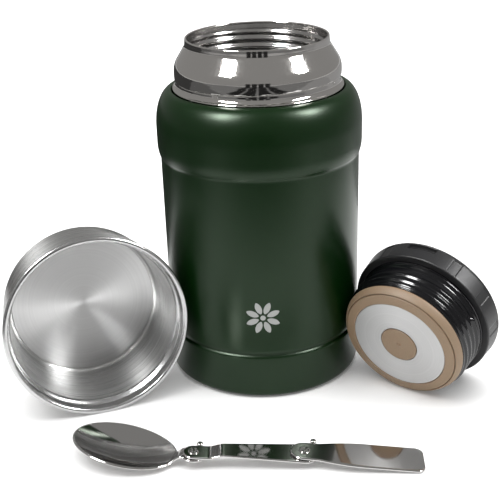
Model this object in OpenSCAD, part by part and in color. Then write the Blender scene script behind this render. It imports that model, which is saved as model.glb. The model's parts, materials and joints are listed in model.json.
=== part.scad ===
// Insulated food jar, standing open, with its cup, threaded stopper and folding
// spoon laid out round it. Millimetres, +Z up, the front faces -Y.
// Origin: centre of the jar's base, on the table.

/* [Jar shell] */
// Outer radius of the coated shell's straight wall
body_r = 50.7; // [46:0.1:56]
// Sheet thickness of the coated shell
shell_t = 0.8; // [0.6:0.1:1.1]
// Height of the shell's opening above the table
shell_h = 151.4; // [142:0.2:165]
// Radius of the shell's opening, where the neck comes out
opening_r = 43.9; // [43.2:0.1:45]
// How far the shoulder bead stands out of the wall
bead_out = 1.4; // [0.8:0.1:2]
// Height of the shoulder, from the bead's crease to the opening
shoulder_h = 33.5; // [30:0.5:37]
// Height of the base cup's visible band
base_band_h = 23.4; // [18:0.2:30]
// Width of the rolled groove above the base band
groove_w = 1.6; // [1.2:0.1:2.4]
// Height of the rubber foot pad below the base cup
foot_h = 0.7; // [0.4:0.1:1.2]

/* [Jar neck] */
// Height of the polished neck above the shell's opening
neck_h = 24.8; // [23:0.2:27]
// Inner radius of the mouth
mouth_r = 34.6; // [34.5:0.1:35.4]
// Sheet thickness of the neck and of the inner vessel
liner_t = 0.5; // [0.4:0.1:0.8]
// Outer radius of the neck below its flare
flare_r = 40.8; // [40:0.1:41.4]
// How far the neck's rib stands out
rib_out = 1.2; // [0.8:0.1:1.4]
// Height of the neck's rib
rib_h = 4.6; // [3.6:0.2:5.2]
// Width of the vacuum gap round the inner vessel
vacuum_gap = 3; // [2.4:0.1:4]
// Height of the inner vessel's floor above the table
liner_floor_z = 9; // [8:0.5:14]
// Height of the inward thread ridges in the mouth
ridge_in = 1.4; // [1:0.1:1.5]
// Pitch of the mouth's and the stopper's thread ridges
pitch = 4; // [3.6:0.1:4.4]

/* [Cup] */
// Outer radius of the cup's mouth
cup_mouth_r = 46; // [45.6:0.1:49]
// Outer radius of the cup's wall above its base's round
cup_foot_r = 41.9; // [41:0.1:43]
// Height of the cup from its base to its rolled lip
cup_h = 43.6; // [40:0.2:50]
// Sheet thickness of the cup's two walls
cup_t = 0.6; // [0.5:0.1:0.8]
// Inner radius of the cup's mouth
cup_bore_r = 44; // [43.6:0.1:44.2]
// Inner radius of the cup below the step in its mouth
cup_step_r = 42; // [41:0.1:42.4]
// Inner radius of the cup's wall at its floor
cup_well_r = 39.2; // [37:0.1:39.6]
// Depth of the cup's inside
cup_depth = 41.2; // [37:0.2:47]
// Radius of the cup's rolled lip
lip_bead_r = 1; // [0.8:0.05:1.2]
// Gap between the cup's lip and the jar in plan
cup_gap = 2.1; // [1.5:0.1:12]

/* [Stopper] */
// Radius of the cap's skirt at its open edge
cap_edge_r = 37.4; // [36.8:0.1:40]
// Radius of the cap's skirt at its top
cap_top_r = 38.1; // [37.8:0.1:41]
// Height of the cap's skirt
cap_h = 10; // [9:0.1:13]
// Distance from the steel disc's face to the cap's underside
reach = 24; // [23:0.2:27]
// Radius of the barrel between its thread ridges
barrel_r = 32.6; // [32.2:0.1:32.8]
// Radius of the stopper's thread ridges
thread_r = 34.2; // [33.8:0.1:34.3]
// Largest radius of the silicone gasket
gasket_r = 32.5; // [32:0.1:32.8]
// Height of the silicone gasket
gasket_h = 5.4; // [4.6:0.2:6]
// Radius of the steel disc
disc_r = 25; // [23:0.2:26.5]
// Radius of the silicone vent plug in the disc
plug_r = 9.7; // [8:0.1:11]
// Travel of the vent plug
vent_stroke = 2; // [1:0.1:2.4]
// Thickness of the spoon compartment's cover
cover_t = 1.2; // [1:0.1:1.6]
// Radius of the cover's hinge pin
hinge_pin_r = 0.5; // [0.4:0.05:0.6]
// Length of the cover's hinge knuckle
knuckle_len = 14; // [10:0.5:18]
// Number of grip flats round the skirt
grip_count = 12; // [8:1:16]

/* [Spoon] */
// Thickness of the spoon's sheet
spoon_t = 1.2; // [1:0.1:1.4]
// Distance between the spoon's two rivets
link_len = 51; // [44:0.5:56]
// Width of the middle link at its wide end
link_w = 14.6; // [12.6:0.1:15]
// Width of the middle link's narrow end
link_neck_w = 10.1; // [8.8:0.1:10.6]
// How far the middle link steps up beside its first ear
jog_h = 1.9; // [1.8:0.1:2.4]
// Length of the handle beyond its rivet
handle_len = 55.4; // [48:0.2:64]
// Width of the handle at its end
handle_w = 18.5; // [15:0.1:22]
// Distance from the first rivet to the bowl's centre
bowl_reach = 33.5; // [32:0.5:38]
// Length of the bowl
bowl_len = 49.4; // [46:0.2:54]
// Width of the bowl
bowl_w = 32.6; // [30:0.2:40]
// Depth of the bowl below its rim, outside
bowl_depth = 6.1; // [5.5:0.1:7.5]
// Pitch of the bowl's rim, its tip up, in degrees
bowl_pitch = 5; // [3:0.5:6]
// Drop of the middle of the bowl's rim below the tang
bowl_drop = 1.3; // [1.2:0.1:3]
// Radius of the round ear on the bowl's tang
ear_r = 5.7; // [5.2:0.1:6]
// Radius of the handle's ear
handle_ear_r = 6.5; // [6:0.1:7]
// Radius of the studs that stop the link and the handle
lug_r = 1.5; // [1.2:0.1:1.8]
// Radius of the rivets' shanks
rivet_r = 1.6; // [1.3:0.1:2]
// Distance from the jar's front to the line of rivets
spoon_gap = 55.4; // [46:0.2:70]

/* [Hidden] */
$fn = 96;

// Clearances
seat_gap = 0.1;          // nested sheets of one body
run_gap = 0.3;           // pieces of different bodies
pin_gap = 0.05;          // shafts in their holes
leaf_gap = 0.2;          // stacked leaves of the spoon
eps = 0.01;
over = 1;                // how far a cut runs past the face it opens

// Rings of thread ridge, in the mouth and on the stopper's barrel
ridge_count = 3;
ridge_w = 0.7 * pitch;
thread_start = 3.4;      // from the lip, or from the cap, to the first ridge

// Steps in the round stretches of the outlines
steps = 8;

// Colours
coat = [0.05, 0.16, 0.09];
steel = [0.72, 0.72, 0.70];
polished = [0.82, 0.82, 0.82];
copper = [0.75, 0.48, 0.32];
plastic = [0.05, 0.05, 0.055];
silicone = [0.62, 0.50, 0.38];
foam = [0.9, 0.88, 0.8];

// ---- outline helpers -------------------------------------------------------
// Smooth step from 0 to 1
function ease(t) = (1 - cos(180 * t)) / 2;
function reverse(list) = [for (i = [len(list) - 1 : -1 : 0]) list[i]];
function shift(list, d) = [for (p = list) p + d];
// Quarter ellipse round c from angle a0 to a1, half axes rx and rz
function bow(c, rx, rz, a0, a1) =
    [for (i = [0 : steps]) let (a = a0 + (a1 - a0) * i / steps) c + [rx * cos(a), rz * sin(a)]];
// S-curve from p to q, upright at both ends
function sway(p, q) =
    [for (i = [0 : steps]) let (t = i / steps) [p[0] + (q[0] - p[0]) * ease(t), p[1] + (q[1] - p[1]) * t]];
// Half-sine ridge of height out on a wall of radius r, from z down to z - w
function ridge(r, out, z, w) =
    [for (i = [0 : steps]) let (t = i / steps) [r + out * sin(180 * t), z - w * t]];

// Turns a sheet outline, given from the top down, into a wall of thickness t
module spun_sheet(outline, t) {
    rotate_extrude() polygon(concat(outline, reverse(shift(outline, [-t, 0]))));
}

module tube(r_out, r_in, z0, z1) {
    translate([0, 0, z0]) difference() {
        cylinder(r = r_out, h = z1 - z0);
        translate([0, 0, -over]) cylinder(r = r_in, h = z1 - z0 + 2 * over);
    }
}

// ---- jar -------------------------------------------------------------------
crease_z = shell_h - shoulder_h;
bead_r = body_r + bead_out;
lip_z = shell_h + neck_h;
liner_out_r = body_r - shell_t - vacuum_gap;
liner_in_r = liner_out_r - liner_t;
lip_out_r = mouth_r + 2 * liner_t + seat_gap;
lip_bulge = (lip_out_r - mouth_r) / 2;
sheet_top_z = lip_z - lip_bulge;

shell_bottom_z = foot_h + base_band_h + groove_w;
bead_fall = 7;            // height of the bead's lower round
arch_h = 18;              // height of the shoulder's arch

// Outer line of the coated shell, from its opening down
shell_line = concat(
    reverse(bow([opening_r, shell_h - arch_h], bead_r - opening_r, arch_h, 0, 90)),
    [for (i = [0 : steps]) let (t = i / steps)
        [body_r + bead_out * sqrt(1 - t * t), crease_z + bead_fall * (1 - t)]],
    [[body_r, shell_bottom_z]]
);

module outer_shell() {
    color(coat) difference() {
        rotate_extrude() polygon(concat(
            [[0, shell_h]], shell_line, [[0, shell_bottom_z]]));
        rotate_extrude() polygon(concat(
            [[0, shell_h + over], [opening_r - shell_t, shell_h + over]],
            shift(shell_line, [-shell_t, -shell_t]),
            [[body_r - shell_t, shell_bottom_z - over], [0, shell_bottom_z - over]]));
    }
}

base_round = 2.4;         // round of the base cup's lower edge
foot_r = body_r - base_round - 1;
window_r = foot_r - 9;    // window that shows the base plate before the pad is on
pad_top_z = foot_h + 1.2;
base_floor_z = foot_h + 2;
spigot_h = 7;             // overlap of the base cup and the shell
band_top_z = foot_h + base_band_h;

module base_cup() {
    spigot_r = body_r - shell_t - seat_gap;
    color(coat) difference() {
        rotate_extrude() polygon(concat(
            [[0, foot_h]],
            bow([body_r - base_round, foot_h + base_round], base_round, base_round, -90, 0),
            [[body_r, band_top_z], [spigot_r, band_top_z], [spigot_r, shell_bottom_z + spigot_h],
             [0, shell_bottom_z + spigot_h]]));
        // hollow
        translate([0, 0, base_floor_z + shell_t])
            cylinder(r = spigot_r - shell_t, h = 2 * base_band_h + spigot_h);
        // recess for the foot pad
        cylinder(r = foot_r, h = pad_top_z);
        // window for the base plate
        cylinder(r = window_r, h = base_floor_z + shell_t + over);
    }
}

evac_r = 1.6;

module base_plate() {
    color(coat) difference() {
        translate([0, 0, base_floor_z + shell_t])
            cylinder(r = body_r - 2 * shell_t - 2 * seat_gap, h = shell_t);
        translate([0, 0, base_floor_z]) cylinder(r = evac_r, h = 4 * shell_t);
    }
}

module evac_seal() {
    color(steel) {
        translate([0, 0, base_floor_z]) cylinder(r = 3 * evac_r, h = shell_t);
        translate([0, 0, base_floor_z]) cylinder(r = evac_r - pin_gap, h = 2 * shell_t);
    }
}

module foot_pad() {
    color(plastic) cylinder(r = foot_r - seat_gap, h = pad_top_z);
}

// Outer line of the polished neck, from the lip down to the ledge
band_h = 3.2;             // upright band below the lip
flare_h = 8.2;            // height of the flare
collar_r = flare_r - 0.1;
collar_h = 4.8;           // from the ledge's top to the rib
ledge_r = opening_r - run_gap;
ledge_t = 0.6;
fillet_h = 2.8;           // height of the fillet between ledge and collar
neck_line = concat(
    [[lip_out_r, sheet_top_z]],
    sway([lip_out_r + 0.3, sheet_top_z - band_h], [flare_r, sheet_top_z - band_h - flare_h]),
    ridge(collar_r, flare_r + rib_out - collar_r, shell_h + ledge_t + collar_h + rib_h, rib_h),
    bow([ledge_r, shell_h + ledge_t + fillet_h], ledge_r - collar_r, fillet_h, 180, 270)
);

module neck_band() {
    sheet_line = [for (p = neck_line) if (p[1] > shell_h + ledge_t + fillet_h - eps) p - [liner_t, 0]];
    color(polished) difference() {
        rotate_extrude() polygon(concat(
            [[0, sheet_top_z]], neck_line, [[ledge_r, shell_h], [0, shell_h]]));
        rotate_extrude() polygon(concat(
            [[0, sheet_top_z + over], [lip_out_r - liner_t, sheet_top_z + over]], sheet_line,
            [[collar_r - liner_t, shell_h - over], [0, shell_h - over]]));
    }
}

module lip_ring() {
    color(polished) difference() {
        rotate_extrude() translate([mouth_r + lip_bulge, sheet_top_z]) circle(r = lip_bulge, $fn = 32);
        translate([0, 0, sheet_top_z - 5]) cylinder(r = lip_out_r + 1, h = 5);
    }
}

// Inner line of the vessel's mouth: thread ridges, the gasket's seat, the throat and
// the shoulder. Its body is welded on below it.
gasket_bite = 3;               // how far the gasket reaches past the seat's edge
seat_w = 1.3;                  // width of the seat below the barrel's edge
throat_r = barrel_r - seat_w;
seat_z = lip_z - reach + gasket_bite;
throat_h = 4;
weld_rise = 16;                // from the bead's crease up to the weld of mouth and body
liner_top_z = crease_z + weld_rise;
liner_round = 9;               // round of the vessel's floor

mouth_line = concat(
    [[mouth_r, sheet_top_z]],
    [for (i = [1 : ridge_count])
        for (p = ridge(mouth_r, -ridge_in, sheet_top_z - thread_start - pitch * (i - 1), ridge_w))
            p],
    [[mouth_r, seat_z + 1], [throat_r, seat_z], [throat_r, seat_z - throat_h]],
    sway([throat_r + eps, seat_z - throat_h - eps], [liner_in_r, liner_top_z])
);

// Moves a point of the mouth's inner line through the sheet: level at the threads,
// down at the seat, up at the shoulder
function through(p) = p + [liner_t,
    p[1] > seat_z + 1.5 ? 0 : p[1] > seat_z - 1 ? -liner_t : liner_t];

module vessel_mouth() {
    color(polished) difference() {
        rotate_extrude() polygon(concat(
            [[0, sheet_top_z]], [for (p = mouth_line) through(p)],
            [[liner_out_r, liner_top_z], [0, liner_top_z]]));
        rotate_extrude() polygon(concat(
            [[0, sheet_top_z + over], [mouth_r, sheet_top_z + over]], mouth_line,
            [[liner_in_r, liner_top_z - over], [0, liner_top_z - over]]));
    }
}

module vessel_body() {
    round_z = liner_floor_z + liner_round;
    color(polished) difference() {
        rotate_extrude() polygon(concat(
            [[0, liner_top_z], [liner_out_r, liner_top_z]],
            reverse(bow([liner_out_r - liner_round, round_z - liner_t], liner_round, liner_round, -90, 0)),
            [[0, liner_floor_z - liner_t]]));
        rotate_extrude() polygon(concat(
            [[0, liner_top_z + over], [liner_in_r, liner_top_z + over]],
            reverse(bow([liner_in_r - liner_round, round_z], liner_round, liner_round, -90, 0)),
            [[0, liner_floor_z]]));
    }
}

foil_t = 0.3;
foil_below_weld = 4;

module foil_wrap() {
    color(copper) tube(liner_out_r + seat_gap + foil_t, liner_out_r + seat_gap,
                       liner_floor_z + liner_round, liner_top_z - foil_below_weld);
}

module getter_can() {
    can_h = 2.2;
    can_r = 8;
    color(steel) translate([0, 0, liner_floor_z - liner_t - can_h]) cylinder(r = can_r, h = can_h);
}

// ---- cup -------------------------------------------------------------------
// Upright frame: base at 0, mouth at cup_h. It lies on its side at the jar's left.
lip_base_z = cup_h - lip_bead_r;
cup_round = 6;
cup_yaw = -71;                 // direction the mouth faces, in plan
cup_side = 213.4;              // direction of the cup from the jar's axis
cup_tilt = atan((cup_mouth_r - cup_foot_r) / (lip_base_z - cup_round));
cup_out = body_r + cup_mouth_r + cup_gap;

module on_cup() {
    translate([cup_out * cos(cup_side), cup_out * sin(cup_side), cup_mouth_r * cos(cup_tilt) + eps])
        rotate([0, 90 - cup_tilt, cup_yaw]) translate([0, 0, -lip_base_z]) children();
}

cup_line = concat(
    [[cup_mouth_r, lip_base_z], [cup_foot_r, cup_round]],
    reverse(bow([cup_foot_r - cup_round, cup_round], cup_round, cup_round, -90, 0)));

module cup_shell() {
    color(steel) on_cup() difference() {
        rotate_extrude() polygon(concat([[0, lip_base_z]], cup_line, [[0, 0]]));
        rotate_extrude() polygon(concat(
            [[0, cup_h], [cup_mouth_r - cup_t, cup_h]],
            [for (p = cup_line) p + [-cup_t, p[1] < cup_round ? cup_t : 0]],
            [[0, cup_t]]));
    }
}

// Inner line of the cup: mouth band, step, wall, small round and floor
cup_floor_z = cup_h - cup_depth;
cup_band_h = 5.6;
cup_step_h = 2.4;
cup_well_round = 2.2;
cup_bore = concat(
    [[cup_bore_r, lip_base_z]],
    sway([cup_bore_r - 0.2, cup_h - cup_band_h], [cup_step_r, cup_h - cup_band_h - cup_step_h]),
    reverse(bow([cup_well_r - cup_well_round, cup_floor_z + cup_well_round],
                cup_well_round, cup_well_round, -90, 0)));

module cup_liner() {
    color(polished) on_cup() difference() {
        rotate_extrude() polygon(concat(
            [[0, lip_base_z]],
            [for (p = cup_bore) p + [cup_t, p[1] < cup_floor_z + cup_well_round ? -cup_t : 0]],
            [[0, cup_floor_z - cup_t]]));
        rotate_extrude() polygon(concat([[0, cup_h], [cup_bore_r, cup_h]], cup_bore, [[0, cup_floor_z]]));
    }
}

module cup_lip() {
    color(polished) on_cup() rotate_extrude() intersection() {
        translate([cup_mouth_r - lip_bead_r, lip_base_z]) circle(r = lip_bead_r, $fn = 32);
        translate([cup_bore_r, lip_base_z]) square([2 * lip_bead_r, lip_bead_r + eps]);
    }
}

// ---- stopper ---------------------------------------------------------------
// Upright frame: disc's face at 0, cap on top. It lies on the skirt's open edge
// and on the gasket, at the jar's right, and the skirt leans on the jar.
cap_z = reach;
cap_top_z = cap_z + cap_h;
cap_floor_t = 1.6;
gasket_edge_h = gasket_h - 0.4;
stop_tilt = atan((cap_edge_r - gasket_r) / (cap_z - gasket_edge_h));
stop_yaw = 53.9;               // direction the cap's top faces, in plan
lean_gap = 0.5;                // between the skirt and the jar
lean_side = -14.15;            // where the skirt meets the jar, in plan
lean_turn = 95.8;              // where the jar meets the skirt, round the stopper
disc_z = gasket_r * cos(stop_tilt) - gasket_edge_h * sin(stop_tilt);
lean_z = disc_z + cap_z * sin(stop_tilt) - cap_edge_r * cos(lean_turn) * cos(stop_tilt);

module on_stopper() {
    translate([(body_r + lean_gap) * cos(lean_side), (body_r + lean_gap) * sin(lean_side), lean_z])
        rotate([0, 90 - stop_tilt, stop_yaw])
        translate([-cap_edge_r * cos(lean_turn), -cap_edge_r * sin(lean_turn), -cap_z]) children();
}

well_wall = 3.4;
well_r = cap_top_r - well_wall;
bowl_well_r = 24;              // deeper middle of the spoon compartment
bowl_well_z = cap_z - 8;
cap_taper = atan((cap_top_r - cap_edge_r) / cap_h);
flat_w = 5.2;
flat_d = 0.3;
slot_w = 15;
slot_h = 2.8;
slot_d = 1.8;
cover_z = cap_top_z + run_gap;
cover_r = cap_top_r - 0.3;
knuckle_r = hinge_pin_r + 0.7;
hinge_z = cover_z + cover_t - knuckle_r;
hinge_x = cover_r - 2;
pin_len = knuckle_len + 8;

module hinge_bar(r, len) {
    translate([hinge_x, len / 2, hinge_z]) rotate([90, 0, 0]) cylinder(r = r, h = len);
}

module stopper_cap() {
    ear_len = (pin_len - knuckle_len) / 2 - seat_gap;
    color(plastic) on_stopper() difference() {
        union() {
            difference() {
                translate([0, 0, cap_z]) cylinder(r1 = cap_edge_r, r2 = cap_top_r, h = cap_h);
                translate([0, 0, cap_z + cap_floor_t]) cylinder(r = well_r, h = cap_h);
                translate([0, 0, cap_z - over]) cylinder(r = bowl_well_r, h = cap_h);
                // grip flats
                for (i = [0 : grip_count - 1]) if (i != grip_count / 2)
                    rotate([0, 0, 360 * i / grip_count]) translate([cap_edge_r, 0, cap_z])
                        rotate([0, cap_taper, 0]) translate([-flat_d, -flat_w / 2, 0.8])
                        cube([4, flat_w, cap_h - 1.6]);
                // finger slot below the cover
                translate([-cap_top_r - over, -slot_w / 2, cap_top_z - 0.6 - slot_h])
                    cube([slot_d + over, slot_w, slot_h]);
                // notch for the hinge
                translate([hinge_x - knuckle_r - run_gap, -pin_len / 2 - 0.5, hinge_z - knuckle_r - run_gap])
                    cube([20, pin_len + 1, 20]);
            }
            // hinge ears
            for (s = [-1, 1]) {
                y0 = s > 0 ? knuckle_len / 2 + run_gap : -pin_len / 2;
                intersection() {
                    union() {
                        translate([hinge_x, y0 + ear_len, hinge_z]) rotate([90, 0, 0])
                            cylinder(r = knuckle_r, h = ear_len);
                        translate([hinge_x - knuckle_r, y0, hinge_z - knuckle_r - run_gap - eps])
                            cube([2 * knuckle_r, ear_len, knuckle_r + run_gap]);
                    }
                    cylinder(r = cap_top_r, h = 2 * cap_top_z);
                }
            }
        }
        hinge_bar(hinge_pin_r + pin_gap, pin_len + 10);
    }
}

disc_t = 1.2;
chamber_r = disc_r - 1;        // foam chamber behind the disc
chamber_top_z = bowl_well_z - 1.8;

module stopper_barrel() {
    barrel_line = concat(
        [[0, cap_z], [barrel_r, cap_z]],
        [for (i = [1 : ridge_count])
            for (p = ridge(barrel_r, thread_r - barrel_r, cap_z - thread_start - pitch * (i - 1), ridge_w))
                p],
        [[barrel_r, gasket_h], [0, gasket_h]]);
    color(plastic) on_stopper() difference() {
        rotate_extrude() polygon(barrel_line);
        // bowl well, open above
        translate([0, 0, bowl_well_z]) cylinder(r = bowl_well_r, h = cap_h);
        // foam chamber, open below
        translate([0, 0, gasket_h - over]) cylinder(r = chamber_r, h = chamber_top_z - gasket_h + over);
        // stem's hole
        cylinder(r = stem_r + pin_gap, h = cap_top_z);
    }
}

module foam_core() {
    color(foam) on_stopper() tube(chamber_r - seat_gap, stem_r + 1.5, disc_t, chamber_top_z);
}

module steel_disc() {
    hole_r = plug_r + run_gap;
    color(steel) on_stopper() difference() {
        cylinder(r = disc_r, h = disc_t);
        translate([0, 0, -over]) cylinder(r = hole_r, h = disc_t + 2 * over);
    }
}

// Two-step ring: a narrow front face, a groove line, then a flank out to the edge
module main_gasket() {
    front_r = gasket_r - 2.4;
    color(silicone) on_stopper() rotate_extrude() polygon([
        [disc_r + seat_gap, 0.5], [front_r - 0.8, 0.5], [front_r, 1], [front_r, 1.6],
        [front_r - 1, 2], [front_r, 2.4], [gasket_r, gasket_edge_h], [gasket_r - 0.4, gasket_h],
        [chamber_r, gasket_h], [chamber_r, disc_t], [disc_r + seat_gap, disc_t]]);
}

stem_r = 1.5;
stem_foot = 0.2;
stem_head = 0.6;               // how far the stem stands in the button
button_r = 7;
button_gap = vent_stroke + run_gap;    // room below the button

module vent_plug() {
    color(silicone) on_stopper() difference() {
        union() {
            translate([0, 0, -0.3]) cylinder(r = plug_r, h = 1.3);
            translate([0, 0, -0.8]) cylinder(r = 0.9, h = 0.6);
        }
        translate([0, 0, stem_foot]) cylinder(r = stem_r + pin_gap, h = 3);
    }
}

module vent_stem() {
    color(steel) on_stopper() translate([0, 0, stem_foot])
        cylinder(r = stem_r, h = bowl_well_z + button_gap + stem_head - stem_foot);
}

module vent_button() {
    button_t = 1.6;
    color(plastic) on_stopper() translate([0, 0, bowl_well_z + button_gap]) difference() {
        cylinder(r = button_r, h = button_t);
        translate([0, 0, -over]) cylinder(r = stem_r + pin_gap, h = over + stem_head);
    }
}

module cap_cover() {
    color(plastic) on_stopper() difference() {
        union() {
            difference() {
                translate([0, 0, cover_z]) cylinder(r = cover_r, h = cover_t);
                translate([hinge_x, -cover_r, 0]) cube([cover_r, 2 * cover_r, 2 * cap_top_z]);
                for (s = [-1, 1])
                    translate([hinge_x - knuckle_r - run_gap,
                               s * (pin_len + knuckle_len) / 4 - (pin_len - knuckle_len) / 4 - run_gap, 0])
                        cube([20, (pin_len - knuckle_len) / 2 + 2 * run_gap, 2 * cap_top_z]);
            }
            hinge_bar(knuckle_r, knuckle_len);
            // ring that locates the cover in the compartment
            difference() {
                tube(well_r - 0.4, well_r - 1.8, cover_z - 1.4, cover_z + eps);
                translate([hinge_x - knuckle_r - 3, -cover_r, 0]) cube([cover_r, 2 * cover_r, 2 * cap_top_z]);
            }
        }
        hinge_bar(hinge_pin_r + pin_gap, pin_len + 10);
    }
}

module cover_pin() {
    color(steel) on_stopper() hinge_bar(hinge_pin_r, pin_len - 1);
}

// ---- spoon -----------------------------------------------------------------
// Local frame: first rivet at the origin, z = 0 at the top of the bowl's tang, the
// link runs along +X. The bowl's bottom and the handle's end rest on the table.
link_z = leaf_gap;                        // underside of the link's first ear
link_body_z = link_z + jog_h;
handle_z = link_body_z + spoon_t + leaf_gap;
bowl_turn = -13.2;                        // the bowl's swing from straight
handle_turn = -3.5;                       // the handle's swing from straight
bowl_power = 2.2;                         // how steeply the bowl's side rises
handle_corner = 4;                        // round of the handle's end
// the handle's far corner, which rests on the table
end_x = link_len + (handle_len - handle_corner) * cos(handle_turn) + handle_corner
    - (handle_w / 2 - handle_corner) * sin(handle_turn);

// Top of the bowl's sheet in the bowl's own frame: rings of an oval round the middle of
// the rim, sunk along a power curve, the tip at -X
bowl_rings = 7;
bowl_spokes = 32;
function sink(u) = -(bowl_depth - spoon_t) * (1 - pow(u, bowl_power));
bowl_tops = [for (i = [1 : bowl_rings]) for (k = [0 : bowl_spokes - 1])
    let (u = i / bowl_rings, a = 360 * k / bowl_spokes)
        [-u * bowl_len / 2 * cos(a), u * bowl_w / 2 * sin(a), sink(u)]];

// Moves a point from the bowl's own frame to the tang's, and gives its x once the bowl
// is swung from straight
function pitched(p) = [p[0] * cos(bowl_pitch) + p[2] * sin(bowl_pitch) - bowl_reach, p[1],
                       p[2] * cos(bowl_pitch) - p[0] * sin(bowl_pitch) - bowl_drop];
function swung_x(p) = p[0] * cos(bowl_turn) - p[1] * sin(bowl_turn);

// The table is the steepest of the planes from the handle's far corner to the bowl's underside
spoon_tilt = max([for (p = bowl_tops) let (q = pitched(p - [0, 0, spoon_t]))
    atan((handle_z - q[2]) / (end_x - swung_x(q)))]);
spoon_z = end_x * sin(spoon_tilt) - handle_z * cos(spoon_tilt);
spoon_x = -34.9;

module on_spoon() {
    translate([spoon_x, -body_r - spoon_gap, spoon_z]) rotate([0, spoon_tilt, 0]) children();
}

module rivet_hole() {
    translate([0, 0, -10]) cylinder(r = rivet_r + pin_gap, h = 20);
}

// Outline of the arm beside an ear, and the stud on it that stops the leaf above.
// Each stud stands run_gap clear of that leaf's edge.
arm_rim = 0.3;
lug_rise = 0.7;                // how far a stud stands above the leaf that it stops
tang_lug_angle = 68;
link_lug_angle = 60;
tang_lug_at = (link_neck_w / 2 + run_gap + lug_r) / sin(tang_lug_angle);
link_lug_at = (handle_ear_r + run_gap + lug_r) / sin(link_lug_angle - handle_turn);

module arm_outline(lug_at, angle) {
    rotate([0, 0, angle]) {
        translate([0, -lug_r - arm_rim]) square([lug_at, 2 * (lug_r + arm_rim)]);
        translate([lug_at, 0]) circle(r = lug_r + arm_rim, $fn = 32);
    }
}

module lug(z0, z1, lug_at, angle) {
    rotate([0, 0, angle]) translate([lug_at, 0, z0]) cylinder(r = lug_r, h = z1 - z0, $fn = 32);
}

// Bowl as a closed shell of the sheet's thickness
module bowl_shell() {
    count = bowl_rings * bowl_spokes;
    middle = [0, 0, sink(0)];
    function quad(i, k) = let (n = (k + 1) % bowl_spokes)
        [i * bowl_spokes + k, (i + 1) * bowl_spokes + k, (i + 1) * bowl_spokes + n, i * bowl_spokes + n];
    function hub(k) = [2 * count, k, (k + 1) % bowl_spokes];
    top_faces = concat(
        [for (k = [0 : bowl_spokes - 1]) hub(k)],
        [for (i = [0 : bowl_rings - 2]) for (k = [0 : bowl_spokes - 1]) for (q = [quad(i, k)])
            for (f = [[q[0], q[1], q[2]], [q[0], q[2], q[3]]]) f]);
    bottom_faces = [for (f = top_faces)
        [for (v = reverse(f)) v == 2 * count ? 2 * count + 1 : v + count]];
    rim = [for (k = [0 : bowl_spokes - 1]) let (
        a = (bowl_rings - 1) * bowl_spokes + k, b = (bowl_rings - 1) * bowl_spokes + (k + 1) % bowl_spokes)
            for (f = [[a, b + count, b], [a, a + count, b + count]]) f];
    polyhedron(concat(bowl_tops, shift(bowl_tops, [0, 0, -spoon_t]), [middle, middle - [0, 0, spoon_t]]),
               concat(top_faces, bottom_faces, rim));
}

// The tang's strip from the side: level at the ear, then down to the rim and a little
// way down the inside of the bowl
module spoon_bowl() {
    neck_w = 8.4;
    bend_x = ear_r - 0.7;
    rim_x = bowl_len / 2;
    into = 2;
    strip = concat([[0, 0], [-bend_x, 0]],
        [for (p = [[rim_x, 0, 0], [rim_x - into, 0, sink(1 - into / rim_x)]])
            let (q = pitched(p)) [q[0], q[2]]]);
    color(polished) on_spoon() difference() {
        union() {
            rotate([0, 0, bowl_turn]) {
                translate([-bowl_reach, 0, -bowl_drop]) rotate([0, bowl_pitch, 0]) bowl_shell();
                translate([0, neck_w / 2, 0]) rotate([90, 0, 0]) linear_extrude(height = neck_w)
                    polygon(concat(strip, reverse(shift(strip, [0, -spoon_t]))));
            }
            translate([0, 0, -spoon_t]) linear_extrude(height = spoon_t) {
                circle(r = ear_r);
                arm_outline(tang_lug_at, tang_lug_angle);
            }
            lug(-spoon_t / 2, link_z + spoon_t + lug_rise, tang_lug_at, tang_lug_angle);
        }
        rivet_hole();
    }
}

jog_x = ear_r + 0.8;           // where the link steps up
jog_len = 7.5;

// Straight beside the first ear, then wider all the way to the second
module link_outline() {
    polygon([[0, -link_neck_w / 2], [jog_x + jog_len, -link_neck_w / 2], [link_len, -link_w / 2],
             [link_len, link_w / 2], [jog_x + jog_len, link_neck_w / 2], [0, link_neck_w / 2]]);
}

module spoon_link() {
    color(polished) on_spoon() difference() {
        union() {
            // sheet that steps up from the first ear
            intersection() {
                translate([0, 0, -10]) linear_extrude(height = 20) union() {
                    link_outline();
                    circle(r = link_neck_w / 2);
                    translate([link_len, 0]) {
                        circle(r = link_w / 2);
                        arm_outline(link_lug_at, link_lug_angle);
                    }
                }
                translate([0, 50, 0]) rotate([90, 0, 0]) linear_extrude(height = 100) polygon([
                    [-20, link_z], [jog_x, link_z], [jog_x + jog_len, link_body_z],
                    [link_len + 20, link_body_z],
                    [link_len + 20, link_body_z + spoon_t], [jog_x + jog_len, link_body_z + spoon_t],
                    [jog_x, link_z + spoon_t], [-20, link_z + spoon_t]]);
            }
            translate([link_len, 0, 0])
                lug(link_body_z + spoon_t / 2, handle_z + spoon_t + lug_rise, link_lug_at, link_lug_angle);
        }
        rivet_hole();
        translate([link_len, 0, 0]) rivet_hole();
    }
}

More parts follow.
